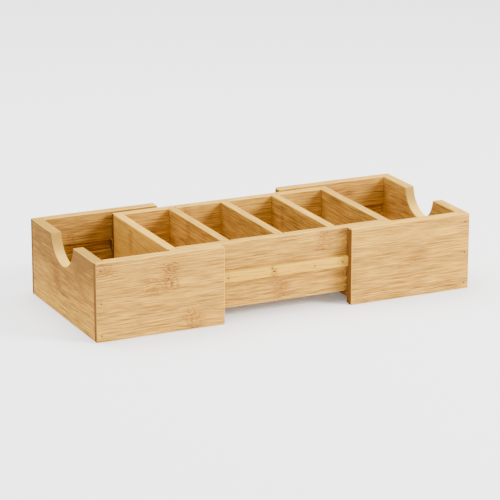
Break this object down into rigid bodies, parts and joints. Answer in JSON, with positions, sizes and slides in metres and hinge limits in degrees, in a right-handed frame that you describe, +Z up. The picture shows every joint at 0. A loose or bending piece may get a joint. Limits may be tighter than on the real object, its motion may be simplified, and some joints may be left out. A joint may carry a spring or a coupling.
{
  "type": "desk organizer",
  "caption": "Low bamboo desk organizer: a card tray with upright dividers that slides out of open-ended end boxes, each with a rounded finger notch.",
  "frame": {"origin": "on the table, at the middle of the organizer's footprint as it stands drawn out", "axes": "+X along the organizer and the way the boxes slide, -Y to the front, +Z up"},
  "size_m": [0.309, 0.132, 0.06],
  "materials": {
    "bamboo": "clear satin lacquer",
    "pale_bamboo": "clear satin lacquer",
    "floor_board": "sanded, thinly lacquered",
    "brad_steel": "dull sunk heads"
  },
  "bodies": {
    "tray": {"tray_front_wall": "bamboo", "tray_back_wall": "bamboo", "tray_left_end": "bamboo", "tray_right_end": "bamboo", "divider_1": "bamboo", "divider_2": "bamboo", "divider_3": "bamboo", "tray_floor": "floor_board", "tray_brads": "brad_steel", "front_rail": "pale_bamboo", "back_rail": "pale_bamboo", "front_rail_brads": "brad_steel", "back_rail_brads": "brad_steel"},
    "left_box": {"left_front_panel": "bamboo", "left_back_panel": "bamboo", "left_end_panel": "bamboo", "left_floor": "floor_board", "left_brads": "brad_steel"},
    "right_box": {"right_front_panel": "bamboo", "right_back_panel": "bamboo", "right_end_panel": "bamboo", "right_floor": "floor_board", "right_brads": "brad_steel"}
  },
  "joints": [
    {"name": "left_box_slide", "type": "slide", "parent": "tray", "child": "left_box", "axis": [-1, 0, 0], "range_m": [-0.0523, 0.0195]},
    {"name": "right_box_slide", "type": "slide", "parent": "tray", "child": "right_box", "axis": [1, 0, 0], "range_m": [-0.0523, 0.0195]}
  ]
}
